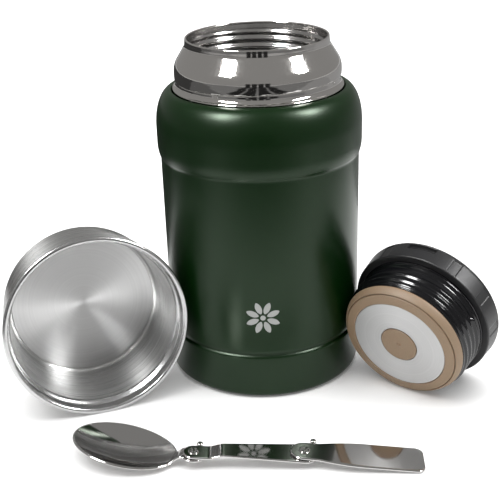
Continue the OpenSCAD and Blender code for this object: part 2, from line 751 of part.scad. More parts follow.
module spoon_handle() {
    corner = handle_corner;
    tail = handle_len - corner;
    neck = handle_ear_r;
    color(polished) on_spoon() translate([link_len, 0, handle_z]) rotate([0, 0, handle_turn]) difference() {
        linear_extrude(height = spoon_t) union() {
            circle(r = neck);
            polygon(concat(
                [[0, -neck], [neck, -neck]],
                [for (i = [0 : steps]) let (t = i / steps)
                    [neck + (handle_len / 2 - neck) * t, -neck - (handle_w / 2 - neck) * sin(90 * t)]],
                [[tail, -handle_w / 2], [tail, handle_w / 2]],
                [for (i = [steps : -1 : 0]) let (t = i / steps)
                    [neck + (handle_len / 2 - neck) * t, neck + (handle_w / 2 - neck) * sin(90 * t)]],
                [[neck, neck], [0, neck]]));
            translate([tail - eps, -handle_w / 2 + corner]) square([corner + eps, handle_w - 2 * corner]);
            for (s = [-1, 1]) translate([tail, s * (handle_w / 2 - corner)]) circle(r = corner);
        }
        rivet_hole();
    }
}

// Rivet with a low head on each side
module rivet(z0, z1) {
    head_r = 2.6;
    head_h = 0.5;
    translate([0, 0, z0]) cylinder(r = rivet_r, h = z1 - z0);
    translate([0, 0, z1]) cylinder(r = head_r, h = head_h);
    translate([0, 0, z0 - head_h]) cylinder(r = head_r, h = head_h);
}

module bowl_rivet() {
    color(steel) on_spoon() rivet(-spoon_t, link_z + spoon_t + 0.05);
}

module handle_rivet() {
    color(steel) on_spoon() translate([link_len, 0, 0]) rivet(link_body_z, handle_z + spoon_t + 0.05);
}

outer_shell();
base_cup();
base_plate();
evac_seal();
foot_pad();
neck_band();
lip_ring();
vessel_mouth();
vessel_body();
foil_wrap();
getter_can();
cup_shell();
cup_liner();
cup_lip();
stopper_cap();
stopper_barrel();
foam_core();
steel_disc();
main_gasket();
vent_plug();
vent_stem();
vent_button();
cap_cover();
cover_pin();
spoon_bowl();
spoon_link();
spoon_handle();
bowl_rivet();
handle_rivet();
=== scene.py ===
# %% [markdown]
# # An insulated food jar, laid out open
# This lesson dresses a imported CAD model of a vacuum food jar, its cup, its stopper and its folding spoon.
# Almost every piece of it was turned, spun or pressed from sheet, so almost every piece here is one of
# two surfaces: an outline carried round an axis, or a flat leaf with rounded edges. Both are worked out
# with numpy as whole grids of points. The CAD model gives the places and the moving bodies, and this
# script gives the looks.

import json
import math

import bmesh
import bpy
import numpy as np
from mathutils import Matrix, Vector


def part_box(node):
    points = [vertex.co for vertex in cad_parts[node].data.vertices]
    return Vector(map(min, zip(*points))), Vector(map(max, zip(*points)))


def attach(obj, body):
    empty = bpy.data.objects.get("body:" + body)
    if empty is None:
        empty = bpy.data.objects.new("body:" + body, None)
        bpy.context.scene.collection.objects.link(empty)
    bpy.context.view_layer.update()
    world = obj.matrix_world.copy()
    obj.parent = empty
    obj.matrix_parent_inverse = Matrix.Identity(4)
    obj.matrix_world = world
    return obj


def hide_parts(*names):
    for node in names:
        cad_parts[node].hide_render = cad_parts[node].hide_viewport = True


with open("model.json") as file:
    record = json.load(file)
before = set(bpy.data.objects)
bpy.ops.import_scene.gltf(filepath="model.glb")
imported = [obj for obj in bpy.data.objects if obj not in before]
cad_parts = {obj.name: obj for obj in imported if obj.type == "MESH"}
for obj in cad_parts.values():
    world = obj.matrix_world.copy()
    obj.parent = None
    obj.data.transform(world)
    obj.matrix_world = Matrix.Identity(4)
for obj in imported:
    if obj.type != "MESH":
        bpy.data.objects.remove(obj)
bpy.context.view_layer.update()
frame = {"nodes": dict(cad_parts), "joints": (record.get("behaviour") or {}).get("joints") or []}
nodes = frame["nodes"]
joints = {j["name"]: j for j in frame["joints"]}
MM = 0.001

# %% [markdown]
# ## Outlines
# A turned part is drawn as half of its section: pairs of radius and height, in millimetres. Corners on
# real sheet and moulded plastic are never sharp, because the light catches their rounds as thin bright
# lines. So the outlines are built from straight stretches, arcs and S-curves, then sampled at even steps
# along their length.

# %% Outline helpers


def arc(centre, rr, rz, start, end, count=13):
    """Part of an ellipse: centre plus (rr cos a, rz sin a), with a running from start to end degrees."""
    a = np.radians(np.linspace(start, end, count))
    return np.column_stack([centre[0] + rr * np.cos(a), centre[1] + rz * np.sin(a)])


def sway(p, q, count=25):
    """S-curve from p to q, upright at both ends: the radius follows half a cosine, the height runs evenly."""
    t = np.linspace(0, 1, count)
    return np.column_stack([p[0] + (q[0] - p[0]) * (1 - np.cos(np.pi * t)) / 2, p[1] + (q[1] - p[1]) * t])


def line(*points):
    return np.array(points, float)


def evenly(outline, step):
    """The same line, sampled every step millimetres along its length."""
    run = np.concatenate([[0], np.cumsum(np.hypot(*np.diff(outline, axis=0).T))])
    at = np.linspace(0, run[-1], max(3, int(round(run[-1] / step)) + 1))
    return np.column_stack([np.interp(at, run, outline[:, 0]), np.interp(at, run, outline[:, 1])])


def looped(outline, step):
    """A closed outline, sampled every step millimetres, with its first point not repeated."""
    return evenly(np.vstack([outline, outline[:1]]), step)[:-1]


def rounded(points, radii, count=7):
    """A closed polygon with its corners rounded: each corner becomes the curve
    (1-t)^2 a + 2t(1-t) corner + t^2 b between points a and b on its two sides."""
    p = np.array(points, float)
    back, ahead = np.roll(p, 1, 0) - p, np.roll(p, -1, 0) - p
    reach = np.broadcast_to(np.array(radii, float), len(p))[:, None]
    a = p + back / np.linalg.norm(back, axis=1, keepdims=True) * reach
    b = p + ahead / np.linalg.norm(ahead, axis=1, keepdims=True) * reach
    t = np.linspace(0, 1, count)[None, :, None]
    return ((1 - t) ** 2 * a[:, None] + 2 * t * (1 - t) * p[:, None] + t**2 * b[:, None]).reshape(-1, 2)


def sheet(outline, thick):
    """Section of a bent sheet: the line, then the line moved sideways by thick, joined into one closed loop.
    On a line that runs down, a positive thick lies outside it."""
    d = np.gradient(outline, axis=0)
    normal = np.column_stack([-d[:, 1], d[:, 0]]) / np.linalg.norm(d, axis=1, keepdims=True)
    return np.concatenate([outline, (outline + thick * normal)[::-1]])


def hump(x):
    """Smooth bump: 1 at x = 0, falling to 0 at x = -1 and 1 along a cosine."""
    return np.where(np.abs(x) < 1, (1 + np.cos(np.pi * np.clip(x, -1, 1))) / 2, 0)


def step_up(x, low, high):
    """Smooth step from 0 at low to 1 at high."""
    t = np.clip((x - low) / (high - low), 0, 1)
    return t * t * (3 - 2 * t)


print("outline helpers ready")

# %% [markdown]
# ## From a grid of points to a mesh
# A grid of points, u across v, becomes quads by index arithmetic alone. The grid is joined to itself
# where it closes, doubled points at poles are merged, and faces are turned outwards. Two UV maps go with
# it: one runs along the surface and gives brushed metal its direction, and one holds the cosine and sine
# of the turn, so that a pattern can pass the seam without a break.

# %% Grid to mesh
MERGE_WITHIN, FLAT_WITHIN = 2e-7, 1e-8  # metres: points that are one, and edges that have no length
SHARP_ANGLE = 38  # degrees between two faces, above which their edge stays crisp
TURNS = 288  # stations round the jar and the cup


def skin(name, points, place, join_v=True, join_u=True):
    """Mesh through points[u, v], moved by the 4x4 matrix place (millimetres in, metres out)."""
    rows, cols = points.shape[:2]
    world = points.reshape(-1, 3) @ place[:3, :3].T + place[:3, 3]
    first_u, first_v = np.arange(rows if join_u else rows - 1), np.arange(cols if join_v else cols - 1)
    i, j = np.meshgrid(first_u, first_v, indexing="ij")
    i, j = i.ravel(), j.ravel()
    i2, j2 = (i + 1) % rows, (j + 1) % cols
    quads = np.stack([i * cols + j, i2 * cols + j, i2 * cols + j2, i * cols + j2], 1)
    mesh = bpy.data.meshes.new(name)
    mesh.from_pydata((world * MM).tolist(), [], quads.tolist())
    run = np.concatenate([[0], np.cumsum(np.linalg.norm(np.diff(points[0], axis=0), axis=1))])
    run = np.append(run, run[-1] + np.linalg.norm(points[0, -1] - points[0, 0]))
    turn = np.stack([i, i + 1, i + 1, i], 1) / rows
    along = run[np.stack([j, j, j + 1, j + 1], 1)] * MM
    mesh.uv_layers.new(name="around").data.foreach_set("uv", np.stack([turn, along], -1).ravel())
    ring = np.stack([np.cos(2 * np.pi * turn), np.sin(2 * np.pi * turn)], -1)
    mesh.uv_layers.new(name="ring").data.foreach_set("uv", ring.ravel())
    return tidy(name, mesh)


def tidy(name, mesh):
    """Merges doubled points, turns faces outwards, smooths all but the sharp edges and makes the object."""
    work = bmesh.new()
    work.from_mesh(mesh)
    bmesh.ops.remove_doubles(work, verts=work.verts, dist=MERGE_WITHIN)
    bmesh.ops.dissolve_degenerate(work, edges=work.edges, dist=FLAT_WITHIN)
    bmesh.ops.recalc_face_normals(work, faces=work.faces)
    work.to_mesh(mesh)
    work.free()
    mesh.shade_smooth()
    mesh.set_sharp_from_angle(angle=math.radians(SHARP_ANGLE))
    piece = bpy.data.objects.new(name, mesh)
    bpy.context.scene.collection.objects.link(piece)
    return piece


def revolve(name, outline, place, turns=256, bend=None, join_v=True):
    """Surface of revolution: x = r cos u, y = r sin u, z = z, with u once round the axis and (r, z) along the
    outline. bend(u, r, z) may shift r and z first, for threads, flats and dents."""
    u = np.linspace(0, 2 * np.pi, turns, endpoint=False)[:, None]
    r, z = outline[None, :, 0] + 0 * u, outline[None, :, 1] + 0 * u
    if bend:
        r, z = bend(u, r, z)
    return skin(name, np.stack([r * np.cos(u), r * np.sin(u), z], -1), place, join_v)


def finished(piece, body, slot, material, *stands_for):
    """Hangs a piece on its body, gives it its material and lets it stand for its CAD nodes. The slot, the
    finish's name, is not used.
    """
    piece.data.materials.append(material)
    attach(piece, body)
    if stands_for:
        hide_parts(*stands_for)
    size = (np.array(piece.bound_box).max(0) - np.array(piece.bound_box).min(0)) / MM
    print(f"{piece.name}: {len(piece.data.polygons)} faces, {size[0]:.1f} x {size[1]:.1f} x {size[2]:.1f} mm")
    return piece


# %% [markdown]
# ## Where each thing lies
# The jar stands on the origin. The cup and the stopper lie on their sides, and the spoon lies on its
# back, so each has a frame of its own: a matrix with its axes as columns and its origin last. The
# stopper's and the spoon's frames are read from the joints of the model, because a joint already knows
# the axis that its piece was built on.

# %% Frames of the cup, the stopper and the spoon


def frame_of(origin, x, y, z):
    m = np.eye(4)
    m[:3, 0], m[:3, 1], m[:3, 2], m[:3, 3] = x, y, z, origin
    return m


def unit(v):
    return np.array(v, float) / np.linalg.norm(v)


def middle(node):
    low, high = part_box(node)
    return (np.array(low) + np.array(high)) / 2 / MM


AT_JAR = np.eye(4)
CUP_YAW, CUP_TAPER, CUP_LIP_Z = -71, 6.39173, 42.6
CUP_RIM = np.array([-82.483, -54.3875, 45.7241])  # middle of the lip where the cup lies
cup_turn, cup_lean = math.radians(CUP_YAW), math.radians(90 - CUP_TAPER)
cup_ahead = np.array([math.cos(cup_turn), math.sin(cup_turn), 0])
cup_up = math.sin(cup_lean) * cup_ahead + math.cos(cup_lean) * np.array([0, 0, 1])
cup_y = np.array([-math.sin(cup_turn), math.cos(cup_turn), 0])
AT_CUP = frame_of(CUP_RIM - CUP_LIP_Z * cup_up, np.cross(cup_y, cup_up), cup_y, cup_up)

stop_up, stop_y = -unit(joints["vent_press"]["axis"]), unit(joints["cover_hinge"]["axis"])
DISC_T = 1.2
AT_STOPPER = frame_of(middle("steel_disc") - DISC_T / 2 * stop_up, np.cross(stop_y, stop_up), stop_y, stop_up)

rivet_1, rivet_2 = (np.array(joints[n]["pos_m"]) / MM for n in ("link_fold", "handle_fold"))
spoon_up, spoon_x = unit(joints["link_fold"]["axis"]), unit(rivet_2 - rivet_1)
AT_SPOON = frame_of(rivet_1, spoon_x, np.cross(spoon_up, spoon_x), spoon_up)
LINK_LEN = float(np.linalg.norm(rivet_2 - rivet_1))
rim_off = np.linalg.norm(middle("cup_lip") - CUP_RIM)
print("cup rim off the CAD by", np.round(rim_off, 2), "mm; link", round(LINK_LEN, 2))


def turned(place, degrees, x=0.0):
    """place, moved by x along its own axis and then turned about its own z."""
    a = math.radians(degrees)
    m = np.eye(4)
    m[:2, :2] = [[math.cos(a), -math.sin(a)], [math.sin(a), math.cos(a)]]
    m[0, 3] = x
    return place @ m


# %% [markdown]
# ## Finishes
# Every finish is a Principled shader with procedural detail. Colour is only the start: what tells powder
# coat from moulded plastic, or a spun disc from a polished neck, is how rough it is and at what scale it
# is uneven.

# %% Shader helpers


def shader(name, colour, rough, metal=0.0, **sockets):
    material = bpy.data.materials.new(name)
    material.use_nodes = True
    material.diffuse_color = (*colour, 1)
    tree = material.node_tree
    bsdf = tree.nodes["Principled BSDF"]
    bsdf.inputs["Base Color"].default_value = (*colour, 1)
    bsdf.inputs["Roughness"].default_value = rough
    bsdf.inputs["Metallic"].default_value = metal
    for key, value in sockets.items():
        bsdf.inputs[key.replace("_", " ").title().replace("Ior", "IOR")].default_value = value
    return material, tree, bsdf


def add(tree, kind, **values):
    node = tree.nodes.new(kind)
    for key, value in values.items():
        if key in node.inputs:
            node.inputs[key].default_value = value
        else:
            setattr(node, key, value)
    return node


def object_noise(tree, scale, detail):
    """Noise in Object coordinates; scale is in bumps per metre."""
    where = add(tree, "ShaderNodeTexCoord")
    noise = add(tree, "ShaderNodeTexNoise", Scale=scale, Detail=detail)
    tree.links.new(where.outputs["Object"], noise.inputs["Vector"])
    return noise.outputs["Fac"]


def lathe_noise(tree, lines, arcs, detail):
    """Fine lines that run round the axis: noise over (arcs cos u, arcs sin u, lines v), so it has no seam."""
    ring = add(tree, "ShaderNodeUVMap", uv_map="ring")
    along = add(tree, "ShaderNodeUVMap", uv_map="around")
    split_ring, split_along = add(tree, "ShaderNodeSeparateXYZ"), add(tree, "ShaderNodeSeparateXYZ")
    tree.links.new(ring.outputs[0], split_ring.inputs[0])
    tree.links.new(along.outputs[0], split_along.inputs[0])
    vector = add(tree, "ShaderNodeCombineXYZ")
    routes = (split_ring.outputs[0], arcs), (split_ring.outputs[1], arcs), (split_along.outputs[1], lines)
    for target, (source, factor) in enumerate(routes):
        times = add(tree, "ShaderNodeMath", operation="MULTIPLY")
        times.inputs[1].default_value = factor
        tree.links.new(source, times.inputs[0])
        tree.links.new(times.outputs[0], vector.inputs[target])
    noise = add(tree, "ShaderNodeTexNoise", Scale=1.0, Detail=detail)
    tree.links.new(vector.outputs[0], noise.inputs["Vector"])
    return noise.outputs["Fac"]


def spread(tree, fac, low, high, socket):
    """Drives a socket from noise, between low and high."""
    span = add(tree, "ShaderNodeMapRange")
    span.inputs["From Min"].default_value, span.inputs["From Max"].default_value = 0.3, 0.7
    span.inputs["To Min"].default_value, span.inputs["To Max"].default_value = low, high
    tree.links.new(fac, span.inputs["Value"])
    tree.links.new(span.outputs["Result"], socket)


def tint(tree, fac, dark, light, bsdf):
    """Mixes two colours by noise."""
    ramp = add(tree, "ShaderNodeValToRGB")
    ramp.color_ramp.elements[0].position, ramp.color_ramp.elements[1].position = 0.35, 0.65
    ramp.color_ramp.elements[0].color, ramp.color_ramp.elements[1].color = (*dark, 1), (*light, 1)
    tree.links.new(fac, ramp.inputs["Fac"])
    tree.links.new(ramp.outputs["Color"], bsdf.inputs["Base Color"])


def relief(tree, fac, depth_mm, bsdf, strength=1.0):
    """Bump of the given depth."""
    bump = add(tree, "ShaderNodeBump", Strength=strength, Distance=depth_mm * MM)
    tree.links.new(fac, bump.inputs["Height"])
    tree.links.new(bump.outputs["Normal"], bsdf.inputs["Normal"])


def grooved(tree, bsdf, amount):
    """Anisotropy of a turned surface: highlights run across the grooves, which run round the axis."""
    tangent = add(tree, "ShaderNodeTangent", direction_type="UV_MAP", uv_map="around")
    tree.links.new(tangent.outputs[0], bsdf.inputs["Tangent"])
    bsdf.inputs["Anisotropic"].default_value = amount
    bsdf.inputs["Anisotropic Rotation"].default_value = 0.25


print("shader helpers ready")

# %% [markdown]
# ### Powder coat
# The green coat is polyester powder, sprayed dry and baked. It flows out almost smooth, and keeps a fine
# orange peel and a grain finer than a millimetre that makes its wide, soft highlights look sandy.

# %% Powder coat
coat, tree, bsdf = shader(
    "green_coat", (0.0006, 0.012, 0.0006), 0.3, specular_ior_level=0.34, specular_tint=(0.82, 1.0, 0.81, 1)
)
tint(tree, object_noise(tree, 3200, 2), (0.0003, 0.0105, 0.0003), (0.0009, 0.0135, 0.0009), bsdf)
spread(tree, object_noise(tree, 1800, 2), 0.28, 0.33, bsdf.inputs["Roughness"])
relief(tree, object_noise(tree, 2200, 3), 0.035, bsdf)
print("made", coat.name)

# %% [markdown]
# ### Steels
# One stainless steel in several finishes. The neck and the spoon are polished mirrors with a little
# ripple left by drawing and buffing. The thread rolled into the mouth is duller, and its steel also has
# painted shade: a darker base than the neck's, for the shade inside the mouth. The cup's walls are
# brushed on a lathe. Its floor, the vessel and the stopper's disc are turned, so their fine grooves run
# round the axis and spread each light into a fan. The cup's lip and mouth are spun smooth, and hidden
# pieces are bare.

# %% Steels
polished, tree, bsdf = shader("polished_steel", (0.66, 0.64, 0.62), 0.07, 1.0)
relief(tree, object_noise(tree, 90, 2), 0.02, bsdf)
spread(tree, object_noise(tree, 700, 4), 0.05, 0.1, bsdf.inputs["Roughness"])

spoon_steel, tree, bsdf = shader("spoon_steel", (0.56, 0.55, 0.54), 0.06, 1.0)
relief(tree, object_noise(tree, 60, 2), 0.02, bsdf)
spread(tree, object_noise(tree, 900, 4), 0.04, 0.09, bsdf.inputs["Roughness"])

brushed, tree, bsdf = shader("brushed_steel", (0.6, 0.6, 0.6), 0.28, 1.0)
lines = lathe_noise(tree, 5200, 0.6, 3)
spread(tree, lines, 0.24, 0.33, bsdf.inputs["Roughness"])
relief(tree, lines, 0.004, bsdf)
tint(tree, lathe_noise(tree, 1500, 0.6, 3), (0.55, 0.55, 0.545), (0.65, 0.65, 0.645), bsdf)
grooved(tree, bsdf, 0.93)

turned_steel, tree, bsdf = shader("turned_steel", (0.6, 0.6, 0.6), 0.34, 1.0)
lines = lathe_noise(tree, 3600, 0.0, 3)
spread(tree, lines, 0.31, 0.38, bsdf.inputs["Roughness"])
relief(tree, lines, 0.0006, bsdf)
tint(tree, lathe_noise(tree, 900, 0.0, 3), (0.58, 0.58, 0.58), (0.62, 0.62, 0.62), bsdf)
grooved(tree, bsdf, 0.96)

disc_steel, tree, bsdf = shader("disc_steel", (0.5, 0.5, 0.5), 0.46, 1.0)
spread(tree, lathe_noise(tree, 3600, 0.0, 3), 0.42, 0.5, bsdf.inputs["Roughness"])
tint(tree, lathe_noise(tree, 900, 0.0, 3), (0.48, 0.48, 0.48), (0.52, 0.52, 0.52), bsdf)
grooved(tree, bsdf, 0.5)

spun_lip, tree, bsdf = shader("spun_lip", (0.52, 0.52, 0.52), 0.22, 1.0)
spread(tree, object_noise(tree, 700, 4), 0.19, 0.26, bsdf.inputs["Roughness"])

# Painted shade: the mouth's thread steel has a darker base than the polished neck, which stands in for the
# shade inside the mouth. Its rougher polish is the rolled thread's real dullness.
rolled_steel_painted_shade, tree, bsdf = shader("rolled_steel_painted_shade", (0.44, 0.43, 0.42), 0.17, 1.0)
relief(tree, object_noise(tree, 120, 2), 0.03, bsdf)
spread(tree, object_noise(tree, 700, 4), 0.14, 0.2, bsdf.inputs["Roughness"])

bare_steel, tree, bsdf = shader("bare_steel", (0.5, 0.5, 0.49), 0.35, 1.0)
spread(tree, object_noise(tree, 1200, 4), 0.28, 0.45, bsdf.inputs["Roughness"])
relief(tree, object_noise(tree, 2600, 3), 0.01, bsdf)

foil, tree, bsdf = shader("copper_foil", (0.7, 0.4, 0.27), 0.25, 1.0)
relief(tree, object_noise(tree, 240, 5), 0.25, bsdf)
print("made the steels and the foil")

# %% [markdown]
# ### Plastics, silicone and rubber
# The cap is satin polypropylene from an etched mould, and the barrel comes from a polished one. Silicone
# scatters a little light under its surface and has a dusty, matt skin.

# %% Plastics and rubbers
satin_black, tree, bsdf = shader("black_plastic", (0.012, 0.012, 0.013), 0.42, specular_ior_level=0.5)
spread(tree, object_noise(tree, 1500, 3), 0.36, 0.5, bsdf.inputs["Roughness"])
relief(tree, object_noise(tree, 3000, 2), 0.02, bsdf)

gloss_black, tree, bsdf = shader("gloss_black", (0.004, 0.004, 0.005), 0.15, specular_ior_level=0.4)
spread(tree, object_noise(tree, 500, 3), 0.13, 0.18, bsdf.inputs["Roughness"])

silicone, tree, bsdf = shader(
    "tan_silicone", (0.25, 0.172, 0.105), 0.55, subsurface_weight=0.08, subsurface_scale=0.002
)
tint(tree, object_noise(tree, 2600, 3), (0.238, 0.164, 0.1), (0.262, 0.18, 0.11), bsdf)
relief(tree, object_noise(tree, 3600, 2), 0.012, bsdf)

rubber, tree, bsdf = shader("black_rubber", (0.016, 0.016, 0.016), 0.75)
relief(tree, object_noise(tree, 2400, 4), 0.05, bsdf)

foam, tree, bsdf = shader("foam", (0.8, 0.78, 0.72), 0.9)
cells = add(tree, "ShaderNodeTexVoronoi", Scale=900.0)
where = add(tree, "ShaderNodeTexCoord")
tree.links.new(where.outputs["Object"], cells.inputs["Vector"])
relief(tree, cells.outputs["Distance"], 0.4, bsdf)

silver_ink, tree, bsdf = shader("silver_ink", (0.36, 0.37, 0.36), 0.45, 0.35)
relief(tree, object_noise(tree, 2800, 3), 0.02, bsdf)
print("made plastics, silicone, rubber, foam and ink")

# %% [markdown]
# ## The jar's shell
# The outer shell is a drawn tube, swaged out into a bead under its shoulder and rolled in to the neck. It
# could be a cylinder with edge loops and a bevel. An outline carried round the axis is exact, and the
# bead's size stays one number. The crease under the bead and the groove above the base are what the eye
# reads as pressed metal, so both get their own small arcs.

# %% Shell and base cup
BODY, BEAD, OPENING = 50.7, 52.1, 43.9
shell_line = np.concatenate([
    line((OPENING - 0.75, 150.3), (OPENING - 0.6, 151.0)),
    arc((OPENING + 0.1, 150.75), 0.65, 0.65, 165, 80, 7),
    arc((OPENING, 133.4), BEAD - OPENING, 18.0, 86, 0, 40),
    arc((BODY, 124.9), BEAD - BODY, 6.4, 0, -70, 16),
    arc((BODY + 0.95, 117.7), 0.95, 0.95, 110, 180, 8),
    line((BODY, 116.5), (BODY, 80), (BODY, 40), (BODY, 26.6)),
    arc((BODY - 0.9, 26.6), 0.9, 0.9, 0, -90, 8),
])
shell = revolve("shell", sheet(evenly(shell_line, 0.8), -0.8), AT_JAR, TURNS)
finished(shell, "jar", "green_coat", coat, "outer_shell")

base_line = np.concatenate([
    line((37.5, 0.75), (46.4, 0.75), (48.3, 0.7)),
    arc((48.3, 3.1), 2.4, 2.4, -90, 0, 12),
    line((50.7, 10), (50.7, 23.2)),
    arc((49.8, 23.2), 0.9, 0.9, 0, 90, 8),
    line((49.75, 24.3), (49.75, 32.6), (49, 32.6), (49, 3.4), (37.5, 3.4)),
])
base = revolve("base_band", evenly(base_line, 0.7), AT_JAR, TURNS)
finished(base, "jar", "green_coat", coat, "base_cup")

pad_line = np.concatenate([
    line((0, 0.5), (38, 0.5)), arc((40, 0.5), 1.2, 0.5, 180, 0, 9), line((43, 0.5), (45.4, 0)),
    arc((46.3, 0.9), 0.9, 0.9, -90, 0, 7), line((47.2, 1.7), (0, 1.7)),
])
pad = revolve("foot", evenly(pad_line, 0.7), AT_JAR, 192, join_v=False)
finished(pad, "jar", "black_rubber", rubber, "foot_pad")

# %% [markdown]
# ## The neck
# The neck is a polished sleeve with a rolled lip. Its wide rib is the thread that the cup screws on to:
# it climbs as it goes round, and fades out at the back where it would meet itself. So the outline is
# plain, and the rib is made by bending it: below a crease whose height rises with the turn, each point
# is tucked in. A hairline below the rib and two pressed dimples come from the same bend.

# %% Neck sleeve, lip and rib
MOUTH = 34.6
neck_line = np.concatenate([
    line((35.72, 175.62), (35.75, 174.6)),
    arc((38.85, 173.4), 3.0, 3.0, 180, 212, 9),
    arc((30.95, 160.0), 10.8, 10.8, 32, 0, 24),
    line((41.75, 158), (41.75, 155.2)),
    arc((44.6, 154.75), 2.85, 2.75, 180, 250, 12),
    arc((43.45, 151.75), 0.25, 0.3, 90, 0, 5),
    line((43.7, 151.45)),
])


def neck_bend(u, r, z):
    """Tucks the sleeve in under the rib along a crease that climbs with the turn, and presses the dimples."""
    turn = (np.degrees(u) + 270) % 360 - 270
    rise = np.where(turn < 70, turn + 90, 160 * (1 - 2 * step_up(turn, 70, 90)))
    below = 159.15 + 3.4 * rise / 360 - z
    tuck = 0.12 * np.clip(below / 2.5, 0, 1) ** 2 + 0.7 * step_up(below, 2.5, 2.78)
    hair = 0.12 * np.exp(-(((below - 3.0) / 0.16) ** 2))
    dent = 0
    for side in (-120, -27):
        off = (turn - side + 180) % 360 - 180
        dent = dent + 0.5 * hump(np.hypot(np.radians(off) * 40.7 / 1.5, (z - 155.5) / 1.1))
    return r - (tuck + hair + dent) * (z < 163), z


neck = revolve("neck_sleeve", sheet(evenly(neck_line, 0.16), -0.5), AT_JAR, TURNS, neck_bend)
finished(neck, "jar", "polished_steel", polished, "neck_band")

lip = revolve("rolled_lip", arc((35.15, 175.65), 0.55, 0.55, 0, 360, 25)[:-1], AT_JAR, 256)
finished(lip, "jar", "polished_steel", polished, "lip_ring")

# %% [markdown]
# ## The inner vessel
# Inside the mouth are thread ridges rolled into the sheet, then the narrow seat that the gasket closes
# on, and below it the vessel widens to the full bore. The ridges are a true right-hand helix. The
# distance of a point to the helix is taken from height over pitch minus turns, less its nearest whole
# number.

# %% Mouth and vessel
PITCH = 4.0


def helix_gap(u, z, start, pitch=PITCH):
    """Millimetres between a point and the nearest turn of a right-hand helix through height start."""
    turns = (z - start) / pitch - u / (2 * np.pi)
    return (turns - np.round(turns)) * pitch


mouth_line = np.concatenate([
    line((MOUTH + 0.45, 175.4), (MOUTH, 172.8), (MOUTH, 157.2)),
    arc((MOUTH - 1.2, 156.4), 1.2, 1.2, 0, -80, 8),
    line((31.9, 155.1)),
    arc((31.9, 154.4), 0.6, 0.6, 100, 180, 6),
    line((31.3, 151.3)),
    sway((31.31, 151.2), (46.4, 134), 40),
])


def mouth_bend(u, r, z):
    """Rolls three turns of ridge into the mouth, fading at both ends."""
    fade = step_up(z, 158.2, 160.5) * (1 - step_up(z, 170.2, 172.6))
    return r - 1.15 * hump(helix_gap(u, z, 170.4) / 2.0) * fade, z


# The mouth's steel is darkened with painted shade.
mouth = revolve("mouth_thread", sheet(evenly(mouth_line, 0.3), 0.5), AT_JAR, TURNS, mouth_bend)
finished(mouth, "jar", "polished_steel", rolled_steel_painted_shade, "vessel_mouth")

vessel_line = np.concatenate([
    line((46.4, 133.9), (46.4, 18)), arc((37.4, 18), 9, 9, 0, -90, 16), line((20, 9), (0, 9)),
    line((0, 8.5), (37.4, 8.5)), arc((37.4, 18), 9.5, 9.5, -90, 0, 16), line((46.9, 133.9)),
])
vessel = revolve("food_vessel", evenly(vessel_line, 1.5), AT_JAR, 160, join_v=False)
finished(vessel, "jar", "polished_steel", turned_steel, "vessel_body")

# %% [markdown]
# ## The maker's place on the shell
# A small printed mark sits low on the front. Here it is a plain rosette of eight petals and a dot. Each
# is a thin lens: a disc of points, flat below and gently crowned above, laid round the shell by using one
# flat coordinate as arc length and the other as height.

# %% Rosette
PETALS, PETAL_RING, PETAL_LONG, PETAL_WIDE, DOT = 8, 5.6, 3.3, 1.55, 1.35
ROSETTE_TURN, ROSETTE_Z = -91, 46.3
spoke = np.arange(PETALS) * 2 * np.pi / PETALS + np.pi / PETALS
centre_a = np.append(PETAL_RING * np.cos(spoke), 0)[:, None, None]
centre_b = np.append(PETAL_RING * np.sin(spoke), 0)[:, None, None]
heading = np.append(spoke, 0)[:, None, None]
long_half = np.append(np.full(PETALS, PETAL_LONG), DOT)[:, None, None]
wide_half = np.append(np.full(PETALS, PETAL_WIDE), DOT)[:, None, None]
# rho runs from the lens's crown, over its edge, to the middle of its underside
rho = np.array([0, 0.35, 0.7, 0.92, 1, 1, 0.5, 0])[None, :, None]
lift = np.array([0.09, 0.085, 0.075, 0.06, 0.03, -0.3, -0.3, -0.3])[None, :, None]
phi = np.linspace(0, 2 * np.pi, 28, endpoint=False)[None, None, :]
pointed = 1 - 0.35 * np.abs(np.cos(phi)) ** 3 * (long_half > 2)
flat_l, flat_w = rho * long_half * np.cos(phi), rho * wide_half * np.sin(phi) * pointed
a = centre_a + flat_l * np.cos(heading) - flat_w * np.sin(heading)
b = centre_b + flat_l * np.sin(heading) + flat_w * np.cos(heading)
around = math.radians(ROSETTE_TURN) + a / BODY
r = BODY + lift + 0 * a
lenses = np.stack([r * np.cos(around), r * np.sin(around), ROSETTE_Z + b], -1)
count, rings, spokes = a.shape
index = np.arange(count * rings * spokes).reshape(count, rings, spokes)
low, up = index[:, :-1, :], index[:, 1:, :]
quads = np.stack([low, np.roll(low, -1, 2), np.roll(up, -1, 2), up], -1).reshape(-1, 4)
mesh = bpy.data.meshes.new("rosette")
mesh.from_pydata((lenses.reshape(-1, 3) * MM).tolist(), [], quads.tolist())
rosette = tidy("rosette", mesh)
finished(rosette, "jar", "polished_steel", silver_ink)

# %% [markdown]
# ## The cup
# The cup is two spun shells joined at a rolled lip: a tapered outer wall, and a liner with a step in its
# mouth, a short straight wall and a flat floor. The step and the lip are rolled smooth, and shine more
# softly than the brushed wall. The liner's corner is tight, about two millimetres, and that is why its
# floor reads as a separate bright disc.

# %% Cup
cup_outside = np.concatenate([
    line((0, 0), (20, 0), (35.9, 0)), arc((35.9, 6), 6, 6, -90, -3, 14), line((43.9, 24), (45.95, 42.4)),
    line((45.35, 42.4), (43.3, 24)), arc((35.9, 6), 5.4, 5.4, -3, -90, 14), line((20, 0.6), (0, 0.6)),
])
cup_shell = revolve("cup_wall", evenly(cup_outside, 0.8), AT_CUP, TURNS, join_v=False)
finished(cup_shell, "cup", "brushed_steel", brushed, "cup_shell")

well_mouth = np.concatenate([
    line((43.6, 42.7), (43.55, 39.2)), sway((43.5, 38.2), (41.7, 35.4), 14), line((41.6, 34.7)),
])
cup_mouth = revolve("cup_liner_mouth", sheet(evenly(well_mouth, 0.35), 0.6), AT_CUP, 256)
finished(cup_mouth, "cup", "brushed_steel", spun_lip, "cup_liner")

